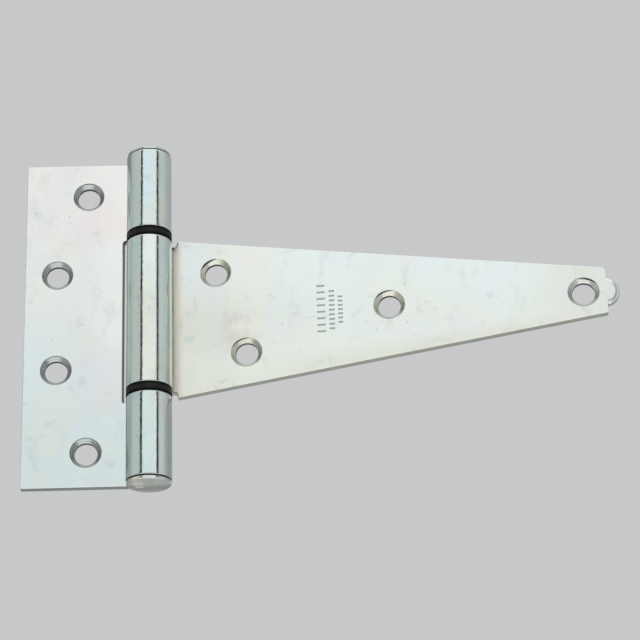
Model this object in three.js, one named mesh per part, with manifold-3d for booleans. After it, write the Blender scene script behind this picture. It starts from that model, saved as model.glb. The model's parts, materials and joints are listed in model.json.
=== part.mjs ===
// T hinge for a door, gate or fence: a post leaf, a tapered strap leaf, a riveted pin and two
// flanged bushings. Millimetres, +Z up along the pin, +X from the pin towards the strap's tip,
// -Y the front, where the barrel stands proud. The origin is the centre of the post leaf's back.
import * as THREE from 'three';
import { mergeVertices } from 'three/addons/utils/BufferGeometryUtils.js';
import Module from 'manifold-3d';

const wasm = await Module();
wasm.setup();

// Sheet and barrel
const sheetThickness = 3.0;
const barrelRadius = 7.45;
const barrelHeight = 114.3;
const centreKnuckleHeight = 51.7;
const seamGap = 0.4;

// Post leaf, measured from the pin axis
const postLeafReach = 41.1;
const notchReach = 9.05;
const notchCornerRadius = 1.2;
const postHoles = [[-20.5, 45.5], [-30.5, 16.9], [-30.5, -16.9], [-20.5, -45.5]];

// Strap leaf, measured from the pin axis
const shoulderReach = 8.5;
const shoulderHalfWidth = 27.75;
const shoulderRound = 0.4;
const strapEndReach = 148.25;
const strapEndHalfWidth = 7.85;
const endCornerRound = 1.3;
const nubRadius = 4.8;
const nubTipReach = 152.4;
const strapHoles = [[21.3, 15.5], [31.1, -13.4], [78.0, 0], [140.8, -0.2]];

// Countersunk screw holes
const holeRadius = 3.7;
const countersinkRadius = 5.1;
const countersinkDepth = 1.6;

// Pin and bushings
const pinRadius = 3.175;
const headRadius = 7.15;
const lowerHead = { gap: 0.45, rim: 1.05, edge: 0.5, crown: 0.4 };
const upperHead = { gap: 0.15, rim: 0.7, edge: 0.4, crown: 0.25 };
const flangeThickness = 3.0;
const axialGap = 0.12;
const sleeveInnerRadius = 3.3;
const sleeveOuterRadius = 4.2;
const sleeveLength = 14;

// The strap stands this far forward of flat
const restFold = THREE.MathUtils.degToRad(6.3);

// Facets
const rollSegments = 20;
const cornerSegments = 6;
const turnSegments = 40;
const holeSegments = 32;

const boreRadius = barrelRadius - sheetThickness;
const centreKnuckleTop = centreKnuckleHeight / 2;
const flangeBottom = centreKnuckleTop + axialGap;
const flangeTop = flangeBottom + flangeThickness;
const outerKnuckleBottom = flangeTop + axialGap;
const past = 2; // how far a cutter runs past what it cuts

const plating = { color: 0xdfe4e5, metalness: 0.85, roughness: 0.32 };
const nylon = { color: 0x1c1c1d, metalness: 0, roughness: 0.5 };

// A geometry with shared vertices and no collapsed triangles
function weld(geometry) {
  const bare = geometry.clone();
  bare.deleteAttribute('normal');
  bare.deleteAttribute('uv');
  const merged = mergeVertices(bare, 1e-4);
  const index = merged.index.array;
  const kept = [];
  for (let i = 0; i < index.length; i += 3) {
    const [a, b, c] = [index[i], index[i + 1], index[i + 2]];
    if (a !== b && b !== c && c !== a) kept.push(a, b, c);
  }
  merged.setIndex(kept);
  return merged;
}

function toSolid(geometry) {
  const welded = weld(geometry);
  return new wasm.Manifold(new wasm.Mesh({
    numProp: 3,
    vertProperties: new Float32Array(welded.attributes.position.array),
    triVerts: new Uint32Array(welded.index.array),
  }));
}

function toGeometry(solid) {
  const mesh = solid.getMesh();
  const geometry = new THREE.BufferGeometry();
  geometry.setAttribute('position', new THREE.BufferAttribute(mesh.vertProperties, 3));
  geometry.setIndex(new THREE.BufferAttribute(mesh.triVerts, 1));
  geometry.computeVertexNormals();
  return geometry;
}

function namedMesh(name, geometry, finish) {
  const mesh = new THREE.Mesh(geometry, new THREE.MeshStandardMaterial(finish));
  mesh.name = name;
  return mesh;
}

// The section that both leaves share: flat sheet whose back is tangent to the barrel, rolled
// behind the pin, round its far side and over its front, and stopped just short of the sheet.
function rolledSection(reach) {
  const towardsPlusX = reach > 0;
  const start = Math.PI / 2;
  const sweep = 1.5 * Math.PI + Math.asin((boreRadius - seamGap) / barrelRadius);
  const end = towardsPlusX ? start + sweep : start - sweep;
  const section = new THREE.Shape();
  section.moveTo(reach, barrelRadius);
  section.lineTo(0, barrelRadius);
  section.absarc(0, 0, barrelRadius, start, end, !towardsPlusX);
  section.absarc(0, 0, boreRadius, end, start, towardsPlusX);
  section.lineTo(reach, boreRadius);
  section.closePath();
  return section;
}

// The rolled section run along Z over the given height, centred on Z = 0
function rolledSheet(reach, height) {
  const geometry = new THREE.ExtrudeGeometry(rolledSection(reach), {
    depth: height, bevelEnabled: false, curveSegments: rollSegments,
  });
  geometry.translate(0, 0, -height / 2);
  return toSolid(geometry);
}

// An outline in X and Z, run through the whole depth of the barrel along Y
function throughY(outline) {
  const depth = 2 * (barrelRadius + past);
  const geometry = new THREE.ExtrudeGeometry(outline, {
    depth, bevelEnabled: false, curveSegments: cornerSegments,
  });
  geometry.rotateX(Math.PI / 2);
  geometry.translate(0, depth / 2, 0);
  return toSolid(geometry);
}

// A countersunk hole through the sheet, opening towards the front
function holeCutter([x, z]) {
  const front = boreRadius;
  const flare = (countersinkRadius - holeRadius) / countersinkDepth;
  const profile = [
    new THREE.Vector2(0, front - past),
    new THREE.Vector2(countersinkRadius + past * flare, front - past),
    new THREE.Vector2(holeRadius, front + countersinkDepth),
    new THREE.Vector2(holeRadius, barrelRadius + past),
    new THREE.Vector2(0, barrelRadius + past),
  ];
  const geometry = new THREE.LatheGeometry(profile, holeSegments);
  geometry.translate(x, 0, z);
  return toSolid(geometry);
}

function cutHoles(leaf, holes) {
  return holes.reduce((solid, hole) => solid.subtract(holeCutter(hole)), leaf);
}

// The clearance for the centre knuckle and the bushings' flanges
function notchOutline() {
  const left = -notchReach;
  const right = barrelRadius + past;
  const half = outerKnuckleBottom;
  const round = notchCornerRadius;
  const outline = new THREE.Shape();
  outline.moveTo(right, -half);
  outline.lineTo(right, half);
  outline.lineTo(left + round, half);
  outline.quadraticCurveTo(left, half, left, half - round);
  outline.lineTo(left, round - half);
  outline.quadraticCurveTo(left, -half, left + round, -half);
  outline.closePath();
  return outline;
}

function postLeaf() {
  const rolled = rolledSheet(-postLeafReach, barrelHeight);
  return toGeometry(cutHoles(rolled.subtract(throughY(notchOutline())), postHoles));
}

// One half of the strap's outline, from the knuckle to the nub, mirrored by side = 1 or -1
function strapEdge(side) {
  const rise = (strapEndHalfWidth - shoulderHalfWidth) / (strapEndReach - shoulderReach);
  const taper = (x) => side * (shoulderHalfWidth + rise * (x - shoulderReach));
  const relief = shoulderReach - shoulderRound;
  const nubCentre = nubTipReach - nubRadius;
  const nubHalf = Math.sqrt(nubRadius ** 2 - (strapEndReach - nubCentre) ** 2);
  return {
    relief: [relief, side * centreKnuckleTop],
    wall: [shoulderReach, taper(shoulderReach) - side * shoulderRound],
    shoulder: [shoulderReach, taper(shoulderReach)],
    taperStart: [shoulderReach + shoulderRound, taper(shoulderReach + shoulderRound)],
    taperEnd: [strapEndReach - endCornerRound, taper(strapEndReach - endCornerRound)],
    corner: [strapEndReach, taper(strapEndReach)],
    endStart: [strapEndReach, side * (strapEndHalfWidth - endCornerRound)],
    nubStart: [strapEndReach, side * nubHalf],
    nubCentre,
    nubAngle: Math.acos((strapEndReach - nubCentre) / nubRadius),
  };
}

function strapOutline() {
  const upper = strapEdge(1);
  const lower = strapEdge(-1);
  const behind = -barrelRadius - past;
  const outline = new THREE.Shape();
  outline.moveTo(behind, centreKnuckleTop);
  outline.lineTo(...upper.relief);
  outline.quadraticCurveTo(shoulderReach, centreKnuckleTop, ...upper.wall);
  outline.quadraticCurveTo(...upper.shoulder, ...upper.taperStart);
  outline.lineTo(...upper.taperEnd);
  outline.quadraticCurveTo(...upper.corner, ...upper.endStart);
  outline.lineTo(...upper.nubStart);
  outline.absarc(upper.nubCentre, 0, nubRadius, upper.nubAngle, -upper.nubAngle, true);
  outline.lineTo(...lower.endStart);
  outline.quadraticCurveTo(...lower.corner, ...lower.taperEnd);
  outline.lineTo(...lower.taperStart);
  outline.quadraticCurveTo(...lower.shoulder, ...lower.wall);
  outline.quadraticCurveTo(shoulderReach, -centreKnuckleTop, ...lower.relief);
  outline.lineTo(behind, -centreKnuckleTop);
  outline.closePath();
  return outline;
}

function strapLeaf() {
  const rolled = rolledSheet(nubTipReach + past, 2 * shoulderHalfWidth + past);
  return toGeometry(cutHoles(rolled.intersect(throughY(strapOutline())), strapHoles));
}

// Half of the pin's profile, from its shank to the crown of one head
function pinHalfProfile({ gap, rim, edge, crown }) {
  const underside = barrelHeight / 2 + gap;
  const rimTop = underside + rim;
  const dome = new THREE.QuadraticBezierCurve(
    new THREE.Vector2(headRadius - edge, rimTop),
    new THREE.Vector2(headRadius / 2, rimTop + crown),
    new THREE.Vector2(0, rimTop + crown),
  );
  return [
    new THREE.Vector2(pinRadius, underside),
    new THREE.Vector2(headRadius, underside),
    new THREE.Vector2(headRadius, rimTop - edge),
    ...dome.getPoints(cornerSegments),
  ];
}

function hingePin() {
  const upper = pinHalfProfile(upperHead);
  const lower = pinHalfProfile(lowerHead).map((p) => new THREE.Vector2(p.x, -p.y)).reverse();
  const geometry = new THREE.LatheGeometry([...lower, ...upper], turnSegments);
  geometry.rotateX(Math.PI / 2);
  return weld(geometry);
}

// A flanged bushing with a sleeve on each side of its flange, for the joint above or below the
// centre knuckle
function bushing(side) {
  const bottom = side > 0 ? flangeBottom : -flangeTop;
  const top = bottom + flangeThickness;
  const profile = [
    new THREE.Vector2(sleeveInnerRadius, bottom - sleeveLength),
    new THREE.Vector2(sleeveOuterRadius, bottom - sleeveLength),
    new THREE.Vector2(sleeveOuterRadius, bottom),
    new THREE.Vector2(barrelRadius, bottom),
    new THREE.Vector2(barrelRadius, top),
    new THREE.Vector2(sleeveOuterRadius, top),
    new THREE.Vector2(sleeveOuterRadius, top + sleeveLength),
    new THREE.Vector2(sleeveInnerRadius, top + sleeveLength),
    new THREE.Vector2(sleeveInnerRadius, bottom - sleeveLength),
  ];
  const geometry = new THREE.LatheGeometry(profile, turnSegments);
  geometry.rotateX(Math.PI / 2);
  return weld(geometry);
}

// Everything is shaped about the pin axis, then moved so that the origin is on the post leaf
const pinAxis = new THREE.Group();
pinAxis.position.set((postLeafReach + notchReach) / 2, -barrelRadius, 0);
pinAxis.add(namedMesh('post_leaf', postLeaf(), plating));
pinAxis.add(namedMesh('hinge_pin', hingePin(), plating));

const strap = new THREE.Group();
strap.rotation.z = -restFold;
strap.add(namedMesh('strap_leaf', strapLeaf(), plating));
strap.add(namedMesh('upper_bushing', bushing(1), nylon));
strap.add(namedMesh('lower_bushing', bushing(-1), nylon));
pinAxis.add(strap);

const hinge = new THREE.Group();
hinge.name = 't_hinge';
hinge.add(pinAxis);

export default hinge;
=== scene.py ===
"""T hinge in bright zinc plate: two leaves rolled from sheet, a riveted pin and two bushings.

Each leaf is made as the real one is: a flat blank with its edges and holes, whose tabs are then
rolled round the pin. Shapes are in millimetres about the pin axis until they are placed.
"""
import json
import math

import bmesh
import bpy
from mathutils import Matrix, Vector
from mathutils.geometry import tessellate_polygon


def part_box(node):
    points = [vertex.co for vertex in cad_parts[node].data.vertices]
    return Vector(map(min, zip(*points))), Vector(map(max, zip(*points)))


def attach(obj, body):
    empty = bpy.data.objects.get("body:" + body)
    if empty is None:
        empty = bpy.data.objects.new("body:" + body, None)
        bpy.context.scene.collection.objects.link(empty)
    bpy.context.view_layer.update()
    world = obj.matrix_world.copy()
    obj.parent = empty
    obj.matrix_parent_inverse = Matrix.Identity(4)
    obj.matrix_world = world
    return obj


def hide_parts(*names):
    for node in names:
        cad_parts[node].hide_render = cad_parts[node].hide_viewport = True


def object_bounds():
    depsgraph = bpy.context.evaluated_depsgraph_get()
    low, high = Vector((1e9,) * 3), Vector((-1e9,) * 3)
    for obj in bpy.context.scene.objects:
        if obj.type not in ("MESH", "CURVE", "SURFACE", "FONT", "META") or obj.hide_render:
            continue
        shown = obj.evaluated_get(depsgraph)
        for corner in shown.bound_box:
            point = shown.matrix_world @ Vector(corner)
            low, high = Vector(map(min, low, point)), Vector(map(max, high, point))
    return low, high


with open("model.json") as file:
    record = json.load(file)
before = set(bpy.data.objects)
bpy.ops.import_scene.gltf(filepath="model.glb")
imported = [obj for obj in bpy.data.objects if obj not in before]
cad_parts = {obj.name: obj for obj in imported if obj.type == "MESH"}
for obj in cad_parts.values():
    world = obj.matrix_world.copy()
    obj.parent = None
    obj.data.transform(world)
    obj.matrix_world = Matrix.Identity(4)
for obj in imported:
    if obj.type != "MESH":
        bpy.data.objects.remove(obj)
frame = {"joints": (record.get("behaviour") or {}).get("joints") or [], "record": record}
cad_low, cad_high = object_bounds()

MM = 0.001


def mount(name):
    """One of the record's mounts."""
    return next(m for m in frame["record"]["mounts"] if m["name"] == name)


# Places and sizes that the frame gives
PIN_AXIS = Vector(frame["joints"][0]["pos_m"])
STRAP_BACK_WAY = mount("strap_leaf_back")["axis"]
REST_FOLD = math.atan2(STRAP_BACK_WAY[0], STRAP_BACK_WAY[1])
BARREL = -PIN_AXIS.y / MM
BARREL_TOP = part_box("post_leaf")[1].z / MM
POST_REACH = (PIN_AXIS.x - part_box("post_leaf")[0].x) / MM
BUSHING_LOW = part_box("upper_bushing")[0].z / MM
BUSHING_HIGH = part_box("upper_bushing")[1].z / MM

# Sheet and roll
SHEET = 3.0
BORE = BARREL - SHEET
NEUTRAL = BARREL - SHEET / 2
SEAM_GAP = 0.4
ROLL_ANGLE = 1.5 * math.pi + math.asin((BORE - SEAM_GAP) / BARREL)
ROLL_LENGTH = ROLL_ANGLE * NEUTRAL
ROLL_COLUMNS = 84
AXIAL_GAP = 0.12

# Bushings and pin
FLANGE = 3.0
FLANGE_MID = (BUSHING_LOW + BUSHING_HIGH) / 2
CENTRE_KNUCKLE_TOP = FLANGE_MID - FLANGE / 2 - AXIAL_GAP
OUTER_KNUCKLE_BOTTOM = FLANGE_MID + FLANGE / 2 + AXIAL_GAP
SLEEVE_INNER = 3.3
SLEEVE_OUTER = 4.2
PIN_RADIUS = 3.175
HEAD_RADIUS = 7.15
CROWN_STEPS = 14
CROWN_POWER = 2.6
LEDGE = 0.01
LOWER_HEAD = {"gap": 0.45, "wall": 0.55, "edge": 0.5, "crown": 0.4}
UPPER_HEAD = {"gap": 0.4, "wall": 0.4, "edge": 0.4, "crown": 0.25}

# Post leaf; a hole is (reach, height, way of the scar in its rim in degrees, size of the scar)
NOTCH_REACH = 9.05
NOTCH_ROUND = 1.2
POST_CORNER = 0.5
POST_HOLES = [
    (20.5, 45.5, 95, 0.4),
    (30.5, 16.9, 100, 0.3),
    (30.5, -16.9, 100, 0.3),
    (20.5, -45.5, 95, 0.3),
]
NOTCH_LEAN = 0.6

# Strap leaf
SHOULDER_REACH = 8.5
SHOULDER_HALF = 27.75
RELIEF_ROUND = 0.9
SHOULDER_ROUND = 0.3
STRAP_END = 148.25
STRAP_END_HALF = 7.85
STRAP_CORNER = 1.2
NUB_RADIUS = 4.8
NUB_TIP = 152.4
STRAP_HOLES = [
    (21.3, 15.5, 125, 1.0),
    (31.1, -13.4, 118, 0.8),
    (78.0, 0.0, 112, 0.8),
    (140.8, -0.2, 72, 1.0),
]

# Punched edges and countersinks
LEAF_ROLLOVER = (0.6, 0.08)
KNUCKLE_ROLLOVER = (1.3, 0.36)
NUB_ROLLOVER = (2.4, 1.6)
BACK_ROUND = (0.75, 0.26)
HOLE_RADIUS = 3.7
COUNTERSINK_RADIUS = 5.1
COUNTERSINK_DEPTH = 1.6
HOLE_STEPS = 72
CONE_STEPS = 5
CUTTER_RINGS = 0.10
CONE_FIRST_ROW = 3
CONE_START = 0.004
SCAR_WIDTH = 0.42
SCAR_DEPTH = 0.7
STAMP_DEPTH = 0.16
UPRIGHT_LEANS = (0.9, 2.2)
TURN_STEPS = 96

# Points nearer than the first are one point; edges shorter than the second are dropped
WELD = 1e-4
SLIVER = 1e-5

# Slots of the leaves' materials; the wall slot's near-black colour is painted shade inside the holes and on
# the notch's wall
# The rim slot is burnished metal, near-white as a painted highlight.
FACE, CUT, MARK, PAINTED_SHADE_WALL, CONE, BURNISHED_RIM_PAINTED_HIGHLIGHT = 0, 1, 2, 3, 4, 5


# ---------------------------------------------------------------- outlines

class Station:
    """One point of an outline, which knows where it goes as the outline is drawn in."""

    def __init__(self, corner, mitre, outward, centre=None, radius=0.0, turn=1):
        self.corner = corner
        self.mitre = mitre
        self.outward = outward
        self.centre = centre
        self.radius = radius
        self.turn = turn

    def at(self, inset):
        """Where the point goes when the outline is drawn in by the inset."""
        if self.centre is None:
            return self.corner + self.mitre * inset
        reach = self.radius - self.turn * inset
        if reach <= 0:
            return self.corner + self.mitre * inset
        return self.centre + self.outward * (self.turn * reach)


def left_of(way):
    """The direction a quarter turn to the left."""
    return Vector((-way.y, way.x))


def outline(corners):
    """Stations round a loop of (along, up, radius, steps), with the material on its left."""
    stations = []
    for i, (along, up, radius, steps) in enumerate(corners):
        here = Vector((along, up))
        before = here - Vector(corners[i - 1][:2])
        after = Vector(corners[(i + 1) % len(corners)][:2]) - here
        first, second = left_of(before.normalized()), left_of(after.normalized())
        mitre = (first + second) / (1 + first.dot(second))
        if radius == 0:
            stations.append(Station(here, mitre, -mitre.normalized()))
            continue
        turn = 1 if before.cross(after) > 0 else -1
        centre = here + mitre * (turn * radius)
        swing = first.angle_signed(second)
        for step in range(steps + 1):
            angle = -swing * step / steps
            way = Matrix.Rotation(angle, 2) @ first
            stations.append(Station(here, mitre, -way, centre, radius, turn))
    return stations


def circle(along, up, radius, steps):
    """Stations round a hole, with the material outside it."""
    corners = []
    for step in range(steps):
        angle = -math.tau * step / steps
        corners.append((along + radius * math.cos(angle), up + radius * math.sin(angle), 0, 0))
    return outline(corners)


# ---------------------------------------------------------------- edge profiles
# Rows of (inset, depth, lean): lean 0 faces the front, a quarter turn the edge, a half the back.

def rollover(width, depth, steps=8):
    """An elliptical edge, from the flat face to the upright wall."""
    rows = []
    for step in range(steps + 1):
        turn = math.pi / 2 * step / steps
        lean = math.atan2(math.sin(turn) / width, math.cos(turn) / depth)
        rows.append((width * (1 - math.sin(turn)), depth * (1 - math.cos(turn)), lean))
    return rows


def punched_edge(front_size, lean_out=0.0):
    """A sheet's edge, whose wall may lean out towards the back."""
    front = rollover(*front_size)
    back_rows = reversed(rollover(*BACK_ROUND))
    back = [(inset, SHEET - depth, math.pi - lean) for inset, depth, lean in back_rows]
    return [(inset - lean_out * depth / SHEET, depth, lean) for inset, depth, lean in front + back]


def countersunk_edge():
    """The rim, the cone with the cutter's faint rings, the throat and the back of a hole."""
    flare = COUNTERSINK_RADIUS - HOLE_RADIUS
    cone = math.atan2(COUNTERSINK_DEPTH, flare)
    quarter = math.pi / 2
    rim = 0.16
    throat = 0.12
    back = 0.2
    start = (flare - 0.03, 0.08)
    end = (throat * 0.6, COUNTERSINK_DEPTH - throat * 0.7)
    rows = [
        (flare + rim, 0.0, 0.0),
        (flare + rim * 0.35, rim * 0.12, cone * 0.45),
        (start[0], start[1], cone),
    ]
    for step in range(CONE_STEPS):
        share = step / CONE_STEPS + CONE_START
        ring = CUTTER_RINGS * (1 if step % 2 else -1)
        inset, depth = (a + (b - a) * share for a, b in zip(start, end))
        rows.append((inset, depth, cone + ring))
    return rows + [
        (end[0], end[1], cone),
        (throat * 0.12, COUNTERSINK_DEPTH, (cone + quarter) / 2),
        (0.0, COUNTERSINK_DEPTH + throat, quarter),
        (0.0, SHEET - back, quarter),
        (back * 0.3, SHEET - back * 0.3, quarter * 1.5),
        (back, SHEET, 2 * quarter),
    ]


def countersunk_finishes():
    """One finish for each pair of rows of countersunk_edge; a thin band at the top of the cone, the throat
    and the bore take the near-black wall slot, painted shade inside the hole.
    """
    return [FACE, CONE, PAINTED_SHADE_WALL] + [CONE] * (CONE_STEPS + 1) + [PAINTED_SHADE_WALL] * 3 + [FACE]


def scarred_edge(side, way, size):
    """A countersunk edge whose cutter bit deeper into the rim on one side."""
    plain_rows = countersunk_edge()

    def edge(station):
        here = math.atan2(-station.outward.y, -side * station.outward.x)
        off = math.remainder(here - math.radians(way), math.tau)
        reach = size * max(0.0, math.cos(2 * off)) if abs(off) < math.pi / 4 else 0.0
        rows = list(plain_rows)
        for step in range(CONE_STEPS):
            row = CONE_FIRST_ROW + step
            inset, depth, lean = rows[row]
            fade = reach * (1 - step / CONE_STEPS) ** 2
            rows[row] = (inset - SCAR_WIDTH * fade, depth + SCAR_DEPTH * fade, lean)
        return rows
    return edge


def in_notch(station):
    """Whether a place of the outline lies on the notch's upright wall."""
    return abs(station.corner.x + NOTCH_REACH) < 0.01


def leaf_edge(station):
    """The punched edge at one place of a leaf: fuller round the knuckles' ends and the nub."""
    if in_notch(station):
        return punched_edge(LEAF_ROLLOVER, NOTCH_LEAN * max(0.0, station.outward.x))
    if station.corner.x < -STRAP_END - 0.01:
        return punched_edge(NUB_ROLLOVER)
    if station.corner.x > 0:
        return punched_edge(KNUCKLE_ROLLOVER)
    return punched_edge(LEAF_ROLLOVER)


def stamped_edge():
    """A shallow stamped recess, from the face down its wall to its floor."""
    return [
        (0.1, 0.0, 0.0),
        (0.02, 0.03, 0.7),
        (-0.02, STAMP_DEPTH - 0.03, 0.9),
        (-0.1, STAMP_DEPTH, 0.0),
    ]


# ---------------------------------------------------------------- surfaces

class Skin:
    """Points with their outward normals, and the faces between them, for one closed surface."""

    def __init__(self):
        self.points = []
        self.normals = []
        self.faces = []

    def add(self, point, normal):
        """Keeps a point and returns its index."""
        self.points.append(point)
        self.normals.append(normal.normalized())
        return len(self.points) - 1

    def face(self, corners, finish=FACE):
        """Keeps a face, given by its points' indices."""
        self.faces.append((corners, finish))

    def band(self, upper, lower, finish=FACE, dark=frozenset()):
        """Faces between two closed rings with the same number of points; cut faces between two dark
        stations take the near-black wall slot, painted shade.
        """
        for i in range(len(upper)):
            j = (i + 1) % len(upper)
            shade = PAINTED_SHADE_WALL if finish == CUT and i in dark and j in dark else finish
            self.face([upper[i], upper[j], lower[j], lower[i]], shade)

    def piece(self, name, place, materials):
        """The surface as a Blender object, moved by place and shaded by its own normals."""
        bm = bmesh.new()
        outward = bm.verts.layers.float_vector.new("outward")
        verts = []
        for point, normal in zip(self.points, self.normals):
            vert = bm.verts.new(point)
            vert[outward] = normal
            verts.append(vert)
        for corners, finish in self.faces:
            face = bm.faces.new([verts[i] for i in corners])
            face.material_index = finish
            face.smooth = True
        bmesh.ops.remove_doubles(bm, verts=bm.verts, dist=WELD)
        bmesh.ops.dissolve_degenerate(bm, edges=bm.edges, dist=SLIVER)
        bmesh.ops.recalc_face_normals(bm, faces=bm.faces)
        bm.transform(place)
        turn = place.to_3x3().normalized()
        normals = [turn @ vert[outward] for vert in bm.verts]
        bm.verts.layers.float_vector.remove(outward)
        mesh = bpy.data.meshes.new(name)
        bm.to_mesh(mesh)
        bm.free()
        for material in materials:
            mesh.materials.append(material)
        mesh.normals_split_custom_set_from_vertices(normals)
        made = bpy.data.objects.new(name, mesh)
        bpy.context.scene.collection.objects.link(made)
        return made


def rolled(side, along, depth, up):
    """A place in the blank and its own directions, after the tabs are rolled round the pin."""
    turn = max(0.0, along) / NEUTRAL
    radius = BORE + depth
    sine, cosine = math.sin(turn), math.cos(turn)
    place = Vector((side * (min(0.0, along) + radius * sine), radius * cosine, up))
    along_way = Vector((side * cosine, -sine, 0))
    back_way = Vector((side * sine, cosine, 0))
    return place, along_way, back_way


def profile_rings(skin, side, stations, edge):
    """One ring of points for each row of the profile that edge(station) gives, round the loop."""
    profiles = [edge(station) for station in stations]
    rings = []
    for row in range(len(profiles[0])):
        ring = []
        for station, profile in zip(stations, profiles):
            inset, depth, lean = profile[row]
            flat = station.at(inset)
            place, along_way, back_way = rolled(side, flat.x, depth, flat.y)
            out = along_way * station.outward.x + Vector((0, 0, station.outward.y))
            ring.append(skin.add(place, out * math.sin(lean) - back_way * math.cos(lean)))
        rings.append(ring)
    return rings


def edge_bands(skin, rings, finishes, dark=frozenset()):
    """Joins the rings of a profile, each pair with its finish."""
    for upper, lower, finish in zip(rings, rings[1:], finishes):
        skin.band(upper, lower, finish, dark)


def edge_finishes(profile):
    """The upright part of a punched edge is cut metal, and the turn of its front is burnished, in a
    near-white colour that also paints a highlight along the edge.
    """
    rolled_over = len(profile) // 2
    least, most = UPRIGHT_LEANS
    finishes = []
    for row, (near, far) in enumerate(zip(profile, profile[1:])):
        upright = max(near[2], far[2]) > least and min(near[2], far[2]) < most
        turning = rolled_over // 2 <= row < rolled_over
        finishes.append(CUT if upright else BURNISHED_RIM_PAINTED_HIGHLIGHT if turning else FACE)
    return finishes


def rolled_runs(stations):
    """The runs of stations that lie on the rolled tabs, as lists of indices."""
    runs, run = [], []
    for i, station in enumerate(stations):
        if station.at(0).x >= 0:
            run.append(i)
        elif run:
            runs.append(run)
            run = []
    return runs + ([run] if run else [])


def flat_face(skin, stations, ring, holes, level):
    """Fills the flat part of a leaf's front or back, round its holes."""
    border = [ring[i] for i, s in enumerate(stations) if s.at(0).x <= 0]
    loops = [border] + [rings[level] for rings in holes]
    used = [index for loop in loops for index in loop]
    shapes = [[Vector((skin.points[i].x, skin.points[i].z, 0)) for i in loop] for loop in loops]
    for triangle in tessellate_polygon(shapes):
        skin.face([used[i] for i in triangle])


def leaf(name, side, corners, holes, marks, place, materials):
    """One leaf from its blank: side 1 rolls towards +X, side -1 towards -X."""
    skin = Skin()
    stations = outline(corners)
    rings = profile_rings(skin, side, stations, leaf_edge)
    # The notch's wall is painted near-black: painted shade in the narrow gap beside the barrel.
    dark = {i for i, station in enumerate(stations) if in_notch(station)}
    edge_bands(skin, rings, edge_finishes(punched_edge(LEAF_ROLLOVER)), dark)
    hole_rings = []
    for reach, up, way, size in holes:
        rim = circle(-reach, up, HOLE_RADIUS, HOLE_STEPS)
        made = profile_rings(skin, side, rim, scarred_edge(side, way, size))
        edge_bands(skin, made, countersunk_finishes())
        hole_rings.append(made)
    mark_rings = []
    for mark in marks:
        made = profile_rings(skin, side, outline(mark), lambda station: stamped_edge())
        for upper, lower in zip(made, made[1:]):
            skin.band(upper, lower, MARK)
        skin.face(made[-1], MARK)
        mark_rings.append(made)
    flat_face(skin, stations, rings[0], hole_rings + mark_rings, 0)
    flat_face(skin, stations, rings[-1], hole_rings, -1)
    for run in rolled_runs(stations):
        for k in range(len(run) // 2 - 1):
            near, far = (run[k], run[-1 - k]), (run[k + 1], run[-2 - k])
            for ring in (rings[0], rings[-1]):
                skin.face([ring[near[0]], ring[far[0]], ring[far[1]], ring[near[1]]])
    return skin.piece(name, place, materials)


def turned(name, profile, place, materials, closed):
    """A surface of revolution about the pin from rows of (radius, height, lean outwards)."""
    skin = Skin()
    rings = []
    for radius, height, lean in profile:
        ring = []
        for step in range(TURN_STEPS):
            angle = math.tau * step / TURN_STEPS
            way = Vector((math.cos(angle), math.sin(angle), 0))
            normal = way * math.cos(lean) + Vector((0, 0, math.sin(lean)))
            ring.append(skin.add(way * radius + Vector((0, 0, height)), normal))
        rings.append(ring)
    for upper, lower in zip(rings, rings[1:]):
        skin.band(upper, lower)
    if closed:
        skin.band(rings[-1], rings[0])
    return skin.piece(name, place, materials)


# ---------------------------------------------------------------- the five pieces

def tab_corners(low, high):
    """A tab from its root to its rolled end and back, with a column at every few degrees."""
    last = ROLL_LENGTH - 2 * KNUCKLE_ROLLOVER[0]
    columns = [last * k / ROLL_COLUMNS for k in range(ROLL_COLUMNS + 1)]
    out = [(s, low, 0, 0) for s in columns]
    end = [(ROLL_LENGTH, low, 0, 0), (ROLL_LENGTH, high, 0, 0)]
    return out + end + [(s, high, 0, 0) for s in reversed(columns)]


def post_leaf(materials):
    """The rectangular leaf, with a tab at each end and the notch between them."""
    notch = OUTER_KNUCKLE_BOTTOM
    corners = [(-POST_REACH, -BARREL_TOP, POST_CORNER, 5)]
    corners += tab_corners(-BARREL_TOP, -notch)
    corners += [(-NOTCH_REACH, -notch, NOTCH_ROUND, 6), (-NOTCH_REACH, notch, NOTCH_ROUND, 6)]
    corners += tab_corners(notch, BARREL_TOP)
    corners += [(-POST_REACH, BARREL_TOP, POST_CORNER, 5)]
    return leaf("post_leaf_sheet", 1, corners, POST_HOLES, [], POST_PLACE, materials)


def nub_corners():
    """The round nub, from the strap's upper end edge to its lower one."""
    centre = NUB_TIP - NUB_RADIUS
    spread = math.acos((STRAP_END - centre) / NUB_RADIUS)
    steps = 28
    made = []
    for step in range(steps + 1):
        angle = spread * (1 - 2 * step / steps)
        made.append((-centre - NUB_RADIUS * math.cos(angle), NUB_RADIUS * math.sin(angle), 0, 0))
    return made


def stamped_marks():
    """Three rows of short plain stamped bars, each row finer than the one before."""
    rows = [(55.8, 2.6, -7.9, 2.3, 8), (59.3, 1.7, -7.1, 1.65, 9), (62.1, 1.4, -5.0, 1.5, 7)]
    width = 0.5
    marks = []
    for reach, length, lowest, pitch, count in rows:
        near, far = -(reach + length / 2), -(reach - length / 2)
        for k in range(count):
            low, high = lowest + pitch * k - width / 2, lowest + pitch * k + width / 2
            box = [(near, low), (near, high), (far, high), (far, low)]
            marks.append([(s, z, width * 0.45, 4) for s, z in box])
    return marks


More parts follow.
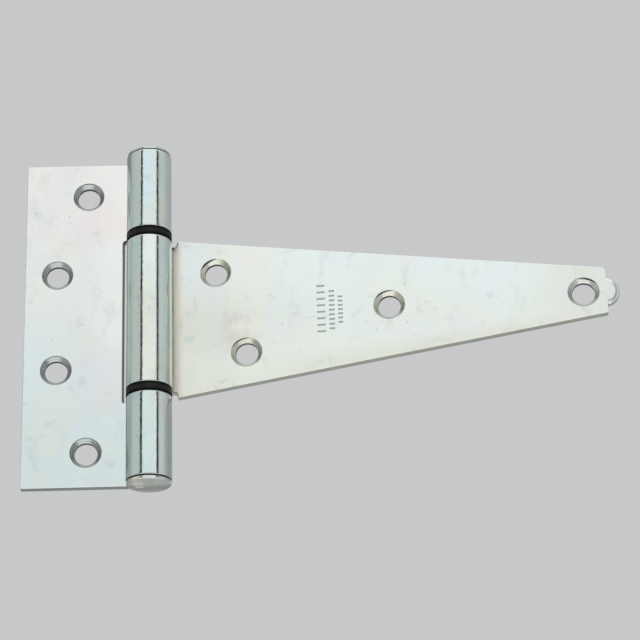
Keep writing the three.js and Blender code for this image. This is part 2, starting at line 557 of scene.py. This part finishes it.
def strap_leaf(materials):
    """The tapered strap, with one long tab, relief steps at its shoulders and a nub."""
    edge = CENTRE_KNUCKLE_TOP
    relief = [
        (-SHOULDER_REACH, edge, RELIEF_ROUND, 5),
        (-SHOULDER_REACH, SHOULDER_HALF, SHOULDER_ROUND, 5),
    ]
    corners = tab_corners(-edge, edge)
    corners += relief
    corners += [(-STRAP_END, STRAP_END_HALF, STRAP_CORNER, 6)]
    corners += nub_corners()
    corners += [(-STRAP_END, -STRAP_END_HALF, STRAP_CORNER * 0.5, 6)]
    corners += [(s, -z, radius, steps) for s, z, radius, steps in reversed(relief)]
    return leaf("strap_leaf_sheet", -1, corners, STRAP_HOLES, stamped_marks(), STRAP_PLACE, materials)


def rounded_row(radius, height, size, start, steps=5):
    """A quarter-round corner of a turned profile, from lean start round by a quarter turn."""
    rows = []
    for step in range(steps + 1):
        lean = start + math.pi / 2 * step / steps
        rows.append((radius + size * math.cos(lean), height + size * math.sin(lean), lean))
    return rows


def pin_head(gap, wall, edge, crown):
    """Half of the pin, from the middle of its shank up over one head to the axis."""
    quarter = math.pi / 2
    underside = BARREL_TOP + gap
    rim_top = underside + wall + edge
    top = rim_top + crown
    under = 0.1
    rows = [(PIN_RADIUS, 0.0, 0.0), (PIN_RADIUS, underside - LEDGE, 0.0)]
    rows += [(PIN_RADIUS + LEDGE, underside, -quarter)]
    rows += rounded_row(HEAD_RADIUS - under, underside + under, under, -quarter)
    rows += rounded_row(HEAD_RADIUS - edge, rim_top - edge, edge, 0.0)[:5]
    start_radius, start_height = rows[-1][:2]
    rise = top - start_height
    for step in range(1, CROWN_STEPS + 1):
        left = 1 - step / CROWN_STEPS
        height = top - rise * left ** CROWN_POWER
        slope = CROWN_POWER * rise * left ** (CROWN_POWER - 1) / start_radius
        rows.append((start_radius * left, height, quarter - math.atan(slope)))
    return rows


def hinge_pin(materials):
    """The pin: a formed head at its lower end and a flatter peened one at its upper end."""
    upper = pin_head(**UPPER_HEAD)
    lower = [(radius, -height, -lean) for radius, height, lean in reversed(pin_head(**LOWER_HEAD)[1:])]
    return turned("pin_with_heads", lower + upper[1:], POST_PLACE, materials, closed=False)


def bushing(name, middle, materials):
    """A flanged bushing whose sleeve enters the knuckles on both sides of its flange."""
    quarter = math.pi / 2
    reach = (BUSHING_HIGH - BUSHING_LOW) / 2
    edge = 0.22
    small = 0.1
    lip = SLEEVE_OUTER - small
    rows = rounded_row(SLEEVE_INNER + small, middle - reach + small, small, -2 * quarter)
    rows += rounded_row(lip, middle - reach + small, small, -quarter)
    rows += [(SLEEVE_OUTER, middle - FLANGE / 2 - LEDGE, 0)]
    rows += [(SLEEVE_OUTER + LEDGE, middle - FLANGE / 2, -quarter)]
    rows += rounded_row(BARREL - edge, middle - FLANGE / 2 + edge, edge, -quarter)
    rows += rounded_row(BARREL - edge, middle + FLANGE / 2 - edge, edge, 0)
    rows += [(SLEEVE_OUTER + LEDGE, middle + FLANGE / 2, quarter)]
    rows += [(SLEEVE_OUTER, middle + FLANGE / 2 + LEDGE, 0)]
    rows += rounded_row(lip, middle + reach - small, small, 0)
    rows += rounded_row(SLEEVE_INNER + small, middle + reach - small, small, quarter)
    return turned(name, rows, STRAP_PLACE, materials, closed=True)


# ---------------------------------------------------------------- materials

class Graph:
    """A material's node tree, with short names for the nodes it needs."""

    def __init__(self, name, metallic, specular=0.5):
        self.material = bpy.data.materials.new(name)
        self.material.use_nodes = True
        self.tree = self.material.node_tree
        self.shader = self.tree.nodes["Principled BSDF"]
        self.shader.inputs["Metallic"].default_value = metallic
        self.shader.inputs["Specular IOR Level"].default_value = specular
        self.coords = self.tree.nodes.new("ShaderNodeTexCoord").outputs["Object"]

    def link(self, source, target):
        self.tree.links.new(source, target)

    def stretched(self, stretch, turn=(0, 0, 0)):
        """The part's coordinates scaled and turned, for a texture that runs one way."""
        node = self.tree.nodes.new("ShaderNodeMapping")
        node.inputs["Scale"].default_value = stretch
        node.inputs["Rotation"].default_value = turn
        self.link(self.coords, node.inputs["Vector"])
        return node.outputs["Vector"]

    def noise(self, scale, detail=2.0, roughness=0.5, distortion=0.0, vector=None):
        node = self.tree.nodes.new("ShaderNodeTexNoise")
        node.inputs["Scale"].default_value = scale
        node.inputs["Detail"].default_value = detail
        node.inputs["Roughness"].default_value = roughness
        node.inputs["Distortion"].default_value = distortion
        self.link(vector or self.coords, node.inputs["Vector"])
        return node.outputs["Fac"]

    def cells(self, scale, vector=None):
        node = self.tree.nodes.new("ShaderNodeTexVoronoi")
        node.inputs["Scale"].default_value = scale
        self.link(vector or self.coords, node.inputs["Vector"])
        return node.outputs["Distance"]

    def ramp(self, value, stops):
        node = self.tree.nodes.new("ShaderNodeValToRGB")
        elements = node.color_ramp.elements
        while len(elements) < len(stops):
            elements.new(0.5)
        for element, (place, colour) in zip(elements, stops):
            element.position = place
            element.color = (*colour, 1) if isinstance(colour, tuple) else (colour, colour, colour, 1)
        self.link(value, node.inputs["Fac"])
        return node.outputs["Color"]

    def place(self, axis, low, high):
        """How far along an axis of the part a point lies: 0 at low and 1 at high, in millimetres."""
        split = self.tree.nodes.new("ShaderNodeSeparateXYZ")
        self.link(self.coords, split.inputs[0])
        return self.span(split.outputs[axis], low * MM, high * MM, 0, 1)

    def from_pin(self, axis, low, high):
        """As place, but measured from the pin's axis."""
        start = PIN_AXIS["XYZ".index(axis)] / MM
        return self.place(axis, start + low, start + high)

    def span(self, value, low, high, out_low, out_high):
        """A value eased from one range to another."""
        node = self.tree.nodes.new("ShaderNodeMapRange")
        node.interpolation_type = "SMOOTHSTEP"
        self.link(value, node.inputs["Value"])
        node.inputs["From Min"].default_value = low
        node.inputs["From Max"].default_value = high
        node.inputs["To Min"].default_value = out_low
        node.inputs["To Max"].default_value = out_high
        return node.outputs["Result"]

    def mix(self, share, first, second, blend="MIX"):
        node = self.tree.nodes.new("ShaderNodeMix")
        node.data_type = "RGBA"
        node.blend_type = blend
        for socket, value in ((0, share), (6, first), (7, second)):
            if isinstance(value, bpy.types.NodeSocket):
                self.link(value, node.inputs[socket])
            elif socket == 0:
                node.inputs[0].default_value = value
            else:
                node.inputs[socket].default_value = (*value, 1)
        return node.outputs[2]

    def sum(self, first, second, operation="ADD"):
        node = self.tree.nodes.new("ShaderNodeMath")
        node.operation = operation
        for socket, value in enumerate((first, second)):
            if isinstance(value, bpy.types.NodeSocket):
                self.link(value, node.inputs[socket])
            else:
                node.inputs[socket].default_value = value
        return node.outputs["Value"]

    def bump(self, height, distance, under=None):
        node = self.tree.nodes.new("ShaderNodeBump")
        node.inputs["Distance"].default_value = distance
        self.link(height, node.inputs["Height"])
        if under is not None:
            self.link(under, node.inputs["Normal"])
        return node.outputs["Normal"]

    def finish(self, colour=None, roughness=None, normal=None):
        for socket, value in (("Base Color", colour), ("Roughness", roughness), ("Normal", normal)):
            if value is not None:
                self.link(value, self.shader.inputs[socket])
        return self.material


def zinc_plate(name, body, rough=0.0, satin=None):
    """Bright zinc over the body colour that body(graph) gives: faint blue, yellow and rose
    clouds in the passivation, handling smudges and soft stains, fine scratches and pin-prick
    specks. It is more satin where satin(graph) says so."""
    graph = Graph(name, metallic=1.0)
    clouds = graph.noise(26, detail=3, roughness=0.55, distortion=0.8)
    tints = [(0.32, (0.94, 0.985, 1.0)), (0.45, (0.985, 1.0, 0.98)), (0.55, (0.965, 0.985, 1.0)),
             (0.66, (1.0, 0.99, 0.94)), (0.75, (0.99, 0.975, 0.99))]
    colour = graph.mix(1.0, body(graph), graph.ramp(clouds, tints), "MULTIPLY")
    turned_coords = graph.stretched((1, 1, 1), (0.4, 1.1, 0.2))
    blush = graph.span(graph.noise(38, detail=2, vector=turned_coords), 0.56, 0.70, 0, 1)
    colour = graph.mix(blush, colour, graph.mix(1.0, colour, (1.0, 0.95, 0.955), "MULTIPLY"))
    tall_coords = graph.stretched((120, 120, 80))
    rubbed = graph.noise(1.0, detail=5, roughness=0.66, distortion=0.4, vector=tall_coords)
    smudge = graph.span(rubbed, 0.53, 0.70, 0, 1)
    smudge_grey = (0.52, 0.53, 0.54)
    colour = graph.mix(graph.sum(smudge, 0.22, "MULTIPLY"), colour, smudge_grey)
    stain_coords = graph.stretched((135, 135, 170), (0.2, 0.5, 0.7))
    stains = graph.noise(1.0, detail=3, roughness=0.55, distortion=0.25, vector=stain_coords)
    stained = graph.mix(1.0, colour, (0.90, 0.91, 0.94), "MULTIPLY")
    colour = graph.mix(graph.span(stains, 0.62, 0.72, 0, 1), colour, stained)
    long_coords = graph.stretched((150, 150, 1500), (0.0, 0.35, 0.3))
    scratch = graph.span(graph.noise(1.0, detail=2, vector=long_coords), 0.70, 0.77, 0, 1)
    scratch_grey = (0.5, 0.52, 0.54)
    colour = graph.mix(graph.sum(scratch, 0.10, "MULTIPLY"), colour, scratch_grey)
    dots = graph.span(graph.cells(330), 0.12, 0.05, 0, 1)
    rare = graph.span(graph.noise(60, detail=1), 0.60, 0.64, 0, 1)
    speck = graph.sum(dots, rare, "MULTIPLY")
    speck_grey = (0.25, 0.27, 0.28)
    colour = graph.mix(graph.sum(speck, 0.45, "MULTIPLY"), colour, speck_grey)
    dull = graph.sum(graph.sum(smudge, 0.08, "MULTIPLY"), graph.sum(scratch, 0.06, "MULTIPLY"))
    roughness = graph.sum(graph.span(clouds, 0.3, 0.7, 0.10 + rough, 0.14 + rough), dull)
    if satin is not None:
        roughness = graph.sum(roughness, graph.sum(satin(graph), 0.17, "MULTIPLY"))
    uneven = rolled_share(graph)
    swells = graph.sum(graph.noise(260, detail=2, roughness=0.5), uneven, "MULTIPLY")
    waves = graph.bump(swells, distance=0.000026)
    grains = graph.sum(graph.noise(1150, detail=3, roughness=0.6), uneven, "MULTIPLY")
    dimples = graph.bump(grains, distance=0.000023, under=waves)
    pits = graph.bump(graph.sum(speck, -1.0, "MULTIPLY"), distance=0.00004, under=dimples)
    return graph.finish(colour, roughness, pits)


def rolled_share(graph):
    """1 on the barrel's round, where rolling left the sheet uneven, and less on the flat leaves."""
    left = graph.from_pin("X", -8.5, -6)
    right = graph.from_pin("X", 9.5, 7)
    front = graph.place("Y", -1.0, -3.5)
    flat_share = 0.3
    return graph.span(graph.sum(graph.sum(left, right, "MULTIPLY"), front, "MULTIPLY"), 0, 1, flat_share, 1)


def barrel_sides(graph, middle):
    """The barrel's colour along its front, and a greener one round its sides that is a painted reflection,
    darker still low down at its outer edges as painted shade.
    """
    across = graph.from_pin("X", -BARREL, BARREL)
    share = graph.ramp(across, [(0.24, 1.0), (0.30, 0.0), (0.70, 0.0), (0.76, 1.0)])
    # The greener colour round the sides is a painted reflection.
    streaks = graph.noise(1.0, detail=3, vector=graph.stretched((260, 260, 45)))
    painted_reflection_greens = [(0.36, (0.71, 0.85, 0.835)), (0.5, (0.735, 0.85, 0.805)), (0.64, (0.76, 0.84, 0.755))]
    to_right = graph.from_pin("X", 0, 4)
    sides = graph.mix(graph.sum(to_right, 0.3, "MULTIPLY"), graph.ramp(streaks, painted_reflection_greens), (0.97, 0.98, 0.93))
    pales = [(0.36, (0.93, 0.95, 0.965)), (0.60, (1.0, 1.0, 0.99))]
    blotches = graph.ramp(graph.noise(240, detail=5, roughness=0.6), pales)
    # Darker low down at the barrel's outer edges: painted shade.
    outermost = graph.ramp(across, [(0.02, 1.0), (0.09, 0.0), (0.91, 0.0), (0.98, 1.0)])
    lowest = graph.sum(outermost, graph.place("Z", -20, -45), "MULTIPLY")
    sides = graph.mix(lowest, sides, (0.58, 0.66, 0.65))
    return graph.mix(share, graph.mix(1.0, middle, blotches, "MULTIPLY"), sides)


def post_body(graph):
    """Neutral at the top, cooler and darker towards the bottom, partly painted shade and partly a cool
    tint; lighter beside the barrel, and bluest on the barrel.
    """
    height = graph.place("Z", -BARREL_TOP, BARREL_TOP)
    # Darker towards the bottom: partly painted shade, partly a cool tint.
    flat = graph.ramp(height, [(0.0, (0.735, 0.815, 0.805)), (0.3, (0.785, 0.86, 0.86)),
                               (0.6, (0.85, 0.88, 0.845)), (1.0, (0.925, 0.90, 0.88))])
    beside = graph.sum(graph.from_pin("X", -24, -11), graph.place("Z", -45, 5), "MULTIPLY")
    flat = graph.mix(graph.sum(beside, 0.5, "MULTIPLY"), flat, (0.96, 0.97, 0.94))
    # The barrel's front is darker low down as well: painted shade with a tint.
    front = graph.ramp(height, [(0.0, (0.74, 0.83, 0.82)), (1.0, (0.77, 0.875, 0.90))])
    rolled_part = barrel_sides(graph, front)
    return graph.mix(graph.from_pin("X", -8, -5.5), flat, rolled_part)


def across_taper(graph):
    """0 along the strap's lower edge and 1 along its upper one, all the way to the tip."""
    split = graph.tree.nodes.new("ShaderNodeSeparateXYZ")
    graph.link(graph.coords, split.inputs[0])
    taper = (SHOULDER_HALF - STRAP_END_HALF) / (STRAP_END - SHOULDER_REACH)
    widest = (SHOULDER_HALF + taper * SHOULDER_REACH) * MM + taper * PIN_AXIS.x
    half = graph.sum(widest, graph.sum(split.outputs["X"], taper, "MULTIPLY"), "SUBTRACT")
    return graph.span(graph.sum(split.outputs["Z"], half, "DIVIDE"), -1, 1, 0, 1)


def strap_body(graph):
    """Bluest along the top edge, darker and yellower towards the lower one, partly painted shade and partly
    a warm tint;
    yellower round the barrel; and brown-grey in the crease beside it, a painted shadow and reflection of
    the barrel."""
    height = graph.place("Z", -SHOULDER_HALF, SHOULDER_HALF)
    # Darker and yellower towards the lower edge: partly painted shade, partly a warm tint.
    flat = graph.ramp(across_taper(graph), [(0.0, (0.84, 0.85, 0.75)), (0.04, (0.865, 0.89, 0.83)),
                                            (0.10, (0.88, 0.92, 0.88)), (0.5, (0.87, 0.93, 0.90)),
                                            (0.85, (0.89, 0.955, 0.935))])
    warm = graph.ramp(height, [(0.1, (0.87, 0.895, 0.795)), (0.5, (0.825, 0.84, 0.765)),
                               (0.9, (0.89, 0.94, 0.91))])
    tipward = graph.from_pin("X", 115, 142)
    leaf_part = graph.mix(tipward, flat, (0.85, 0.865, 0.81))
    near = graph.from_pin("X", 70, 9)
    leaf_part = graph.mix(near, leaf_part, warm)
    # Brown-grey beside the barrel: a painted shadow and painted reflection of the barrel.
    crease = graph.from_pin("X", 11.4, 7.9)
    leaf_part = graph.mix(crease, leaf_part, (0.69, 0.635, 0.535))
    past_barrel = graph.from_pin("X", BARREL - 0.2, BARREL + 0.2)
    at_root = graph.sum(graph.from_pin("X", 6.5, 6.9), graph.from_pin("Y", 3.4, 4.0), "MULTIPLY")
    beside = graph.sum(past_barrel, at_root, "MAXIMUM")
    return graph.mix(beside, barrel_sides(graph, warm), leaf_part)


def tip_satin(graph):
    """Duller on the nub, which is worn by handling."""
    return graph.from_pin("X", STRAP_END - 2, STRAP_END)


def strap_satin(graph):
    """Duller beside the barrel, where the strap was bent up, and on the nub."""
    inner = graph.from_pin("X", BARREL, BARREL + 0.4)
    beside = graph.sum(graph.from_pin("X", 34, 22), inner, "MULTIPLY")
    return graph.sum(beside, tip_satin(graph), "MAXIMUM")


def strap_cone(graph):
    """Yellow-white by the barrel and nearly neutral at the tip, kept light as painted light on the strap's
    countersinks.
    """
    return graph.mix(graph.from_pin("X", 15, 140), (0.87, 0.87, 0.76), (0.85, 0.86, 0.81))


def head_body(graph):
    """Darker behind the middle as painted shade, with pale yellow patches and a pale yellow spot on the
    lower head.
    """
    behind = graph.from_pin("Y", -2.0, 0.5)
    patch = graph.span(graph.noise(210, detail=2), 0.53, 0.62, 0, 1)
    front = graph.mix(patch, (0.73, 0.76, 0.70), (0.97, 0.98, 0.86))
    # Darker behind the middle: painted shade.
    disc = graph.mix(behind, front, (0.48, 0.51, 0.46))
    # A pale yellow spot low on the lower head's front.
    across = graph.sum(graph.from_pin("X", -4.8, -3.9), graph.from_pin("X", -1.3, -2.2), "MULTIPLY")
    along = graph.sum(graph.from_pin("Y", -5.8, -4.9), graph.from_pin("Y", 1.6, 0.4), "MULTIPLY")
    ragged = graph.span(graph.noise(420, detail=2), 0.36, 0.52, 0.35, 1)
    lower = graph.sum(graph.place("Z", 0, -10), ragged, "MULTIPLY")
    worn = graph.sum(graph.sum(across, along, "MULTIPLY"), lower, "MULTIPLY")
    return graph.mix(worn, disc, (1.0, 1.0, 0.84))


def even(colour):
    """A body colour that is the same all over, under the clouds."""
    return lambda graph: colour


def black_nylon(name, middle):
    """Moulded black polymer with a soft satin skin and light dust; its flange edges are dulled, painted
    shade in the gaps beside the knuckles.
    """
    bright, dull = 0.24, 0.02
    graph = Graph(name, metallic=0.0, specular=bright)
    across = graph.place("Z", middle - FLANGE / 2, middle + FLANGE / 2)
    # Less shine at the flange's edges: painted shade where the flange meets the knuckles.
    shine = graph.ramp(across, [(0.08, dull), (0.24, bright), (0.76, bright), (0.92, dull)])
    graph.link(shine, graph.shader.inputs["Specular IOR Level"])
    mottle = graph.noise(420, detail=3)
    colour = graph.ramp(mottle, [(0.35, (0.006, 0.006, 0.0065)), (0.7, (0.012, 0.0115, 0.012))])
    dust = graph.span(graph.noise(900, detail=2), 0.62, 0.75, 0, 0.10)
    colour = graph.mix(dust, colour, (0.22, 0.21, 0.20))
    roughness = graph.span(mottle, 0.3, 0.7, 0.38, 0.52)
    skin = graph.bump(graph.noise(1500, detail=3), distance=0.000012)
    return graph.finish(colour, roughness, skin)


def plain(name, colour):
    """A matt studio surface with a barely visible unevenness."""
    graph = Graph(name, metallic=0.0, specular=0.1)
    graph.shader.inputs["Roughness"].default_value = 1.0
    darker = tuple(c * 0.985 for c in colour)
    return graph.finish(graph.ramp(graph.noise(3, detail=2), [(0.3, darker), (0.7, colour)]))


def graded_card(name, back_grey):
    """White card at its front end, greyer towards the back of the studio."""
    graph = Graph(name, metallic=0.0, specular=0.1)
    graph.shader.inputs["Roughness"].default_value = 1.0
    back = graph.place("Y", -600, 1000)
    return graph.finish(graph.ramp(back, [(0.0, 0.97), (0.35, 0.84), (0.75, back_grey), (1.0, back_grey)]))


# ---------------------------------------------------------------- studio

CENTRE = (cad_low + cad_high) / 2
CAMERA_AIM = PIN_AXIS + Vector((55.53, 0.0, -3.18)) * MM
CAMERA_DISTANCE = 0.7302
CAMERA_AZIMUTH = -1.18
CAMERA_ELEVATION = -23.39
CAMERA_ROLL = -1.79
CAMERA_LENS = 126.25


def outwards(azimuth, elevation):
    """The way from the object: azimuth 0 is the front, towards -Y, and 90 is towards +X."""
    a, e = math.radians(azimuth), math.radians(elevation)
    return Vector((math.sin(a) * math.cos(e), -math.cos(a) * math.cos(e), math.sin(e)))


def make_camera():
    """The camera, below the hinge and almost square to it, as in the photograph."""
    data = bpy.data.cameras.new("camera")
    data.sensor_width = 36
    data.lens = CAMERA_LENS
    data.clip_start = 0.05
    data.clip_end = 30
    camera = bpy.data.objects.new("camera", data)
    bpy.context.scene.collection.objects.link(camera)
    back = outwards(CAMERA_AZIMUTH, CAMERA_ELEVATION)
    level = (-back).to_track_quat("-Z", "Y").to_matrix().to_4x4()
    roll = Matrix.Rotation(math.radians(CAMERA_ROLL), 4, "Z")
    camera.matrix_world = Matrix.Translation(CAMERA_AIM + back * CAMERA_DISTANCE) @ level @ roll
    bpy.context.scene.camera = camera


def soft_panel(name, azimuth, elevation, distance, width, height, watts):
    """A wide lamp turned towards the object's middle."""
    data = bpy.data.lights.new(name, "AREA")
    data.shape = "RECTANGLE"
    data.size = width
    data.size_y = height
    data.energy = watts
    lamp = bpy.data.objects.new(name, data)
    bpy.context.scene.collection.objects.link(lamp)
    way = outwards(azimuth, elevation)
    lamp.location = CENTRE + way * distance
    lamp.rotation_mode = "QUATERNION"
    lamp.rotation_quaternion = (-way).to_track_quat("-Z", "Y")
    lamp.visible_camera = False
    return lamp


def flat_stage(name, faces, material):
    """A flat or folded part of the studio."""
    bm = bmesh.new()
    for corners in faces:
        bm.faces.new([bm.verts.new(corner) for corner in corners])
    mesh = bpy.data.meshes.new(name)
    bm.to_mesh(mesh)
    bm.free()
    mesh.materials.append(material)
    made = bpy.data.objects.new(name, mesh)
    bpy.context.scene.collection.objects.link(made)
    return made


def make_floor():
    """A pale floor, below the camera's view of the hinge."""
    half = 5.0
    level = -0.75
    corners = [(-half, -half, level), (half, -half, level), (half, half, level), (-half, half, level)]
    flat_stage("floor", [corners], plain("pale_floor", (0.74, 0.745, 0.75)))


def make_card(name, first, last, reach, material):
    """A curved upright card from one azimuth to another, seen only in reflections."""
    low, high = -0.4, 1.2
    fold_degrees = 8
    steps = max(1, round(abs(last - first) / fold_degrees))
    ways = [outwards(first + (last - first) * k / steps, 0) * reach for k in range(steps + 1)]
    faces = []
    for near, far in zip(ways, ways[1:]):
        foot, head = CENTRE + Vector((0, 0, low)), CENTRE + Vector((0, 0, high))
        faces.append((foot + near, foot + far, head + far, head + near))
    card = flat_stage(name, faces, material)
    card.visible_camera = False
    card.visible_shadow = False
    card.visible_diffuse = False


def make_studio():
    """A pale world, three soft panels, two dark cards and two graded ones, and the floor."""
    world = bpy.data.worlds.new("studio")
    world.use_nodes = True
    background = world.node_tree.nodes["Background"]
    background.inputs["Color"].default_value = (0.575, 0.582, 0.588, 1)
    bpy.context.scene.world = world
    soft_panel("front_panel", -1.5, 20, distance=1.25, width=2.09, height=1.75, watts=3.68)
    soft_panel("low_panel", 0, -74, distance=0.55, width=0.8, height=0.7, watts=0.9)
    soft_panel("top_panel", 0, 76, distance=0.9, width=1.1, height=0.7, watts=1.2)
    black = plain("black_card", (0.004, 0.007, 0.011))
    make_card("flag_left", -44.0, -33.0, 1.0, black)
    make_card("flag_right", 38.2, 49.2, 1.0, black)
    make_card("side_left", -60, -164, 1.15, graded_card("graded_card_left", 0.40))
    make_card("side_right", 60, 164, 1.15, graded_card("graded_card_right", 0.66))
    make_floor()
    bpy.context.scene.view_settings.view_transform = "Standard"


# ---------------------------------------------------------------- assembly

POST_PLACE = Matrix.Translation(PIN_AXIS) @ Matrix.Scale(MM, 4)
STRAP_PLACE = Matrix.Translation(PIN_AXIS) @ Matrix.Rotation(-REST_FOLD, 4, "Z") @ Matrix.Scale(MM, 4)


def stand_in(made, node, body):
    """Puts a piece in the place of a CAD node, on its body."""
    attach(made, body)
    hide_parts(node)


def make_hinge():
    """The five pieces, each with its own finishes."""
    cut = zinc_plate("zinc_cut_edge", even((0.63, 0.635, 0.54)), rough=0.16)
    # A darker copy of the cut edge for the post leaf: painted shade.
    post_cut = zinc_plate("zinc_post_cut_edge_painted_shade", even((0.39, 0.415, 0.395)), rough=0.16)
    # The turn of the punched edges: burnished, and near-white as a painted highlight.
    rim = zinc_plate("zinc_burnished_edge_painted_highlight", even((0.97, 0.985, 0.95)), satin=tip_satin)
    mark = zinc_plate("zinc_stamped", even((0.46, 0.47, 0.44)), rough=0.16)
    # Near-black hole and notch walls: painted shade.
    wall = zinc_plate("zinc_hole_wall_painted_shade", even((0.09, 0.095, 0.09)), rough=0.22)
    # The post leaf's countersinks are a darker copy of the strap's: painted shade.
    post_cone_painted_shade = zinc_plate("zinc_post_countersink_painted_shade", even((0.60, 0.63, 0.61)), rough=0.14)
    post = [zinc_plate("zinc_post_face", post_body), post_cut, mark, wall, post_cone_painted_shade, rim]
    strap_cones_painted_light = zinc_plate("zinc_strap_countersink_painted_light", strap_cone, rough=0.12)
    strap_face = zinc_plate("zinc_strap_face", strap_body, satin=strap_satin)
    strap = [strap_face, cut, mark, wall, strap_cones_painted_light, rim]
    head = zinc_plate("zinc_head", head_body, rough=0.10)
    stand_in(post_leaf(post), "post_leaf", "post")
    stand_in(strap_leaf(strap), "strap_leaf", "strap")
    stand_in(hinge_pin([head]), "hinge_pin", "post")
    for name, middle in (("upper", FLANGE_MID), ("lower", -FLANGE_MID)):
        nylon = black_nylon("black_nylon_" + name, middle)
        made = bushing(name + "_flanged_bushing", middle, [nylon])
        stand_in(made, name + "_bushing", "strap")


make_hinge()
make_camera()
make_studio()
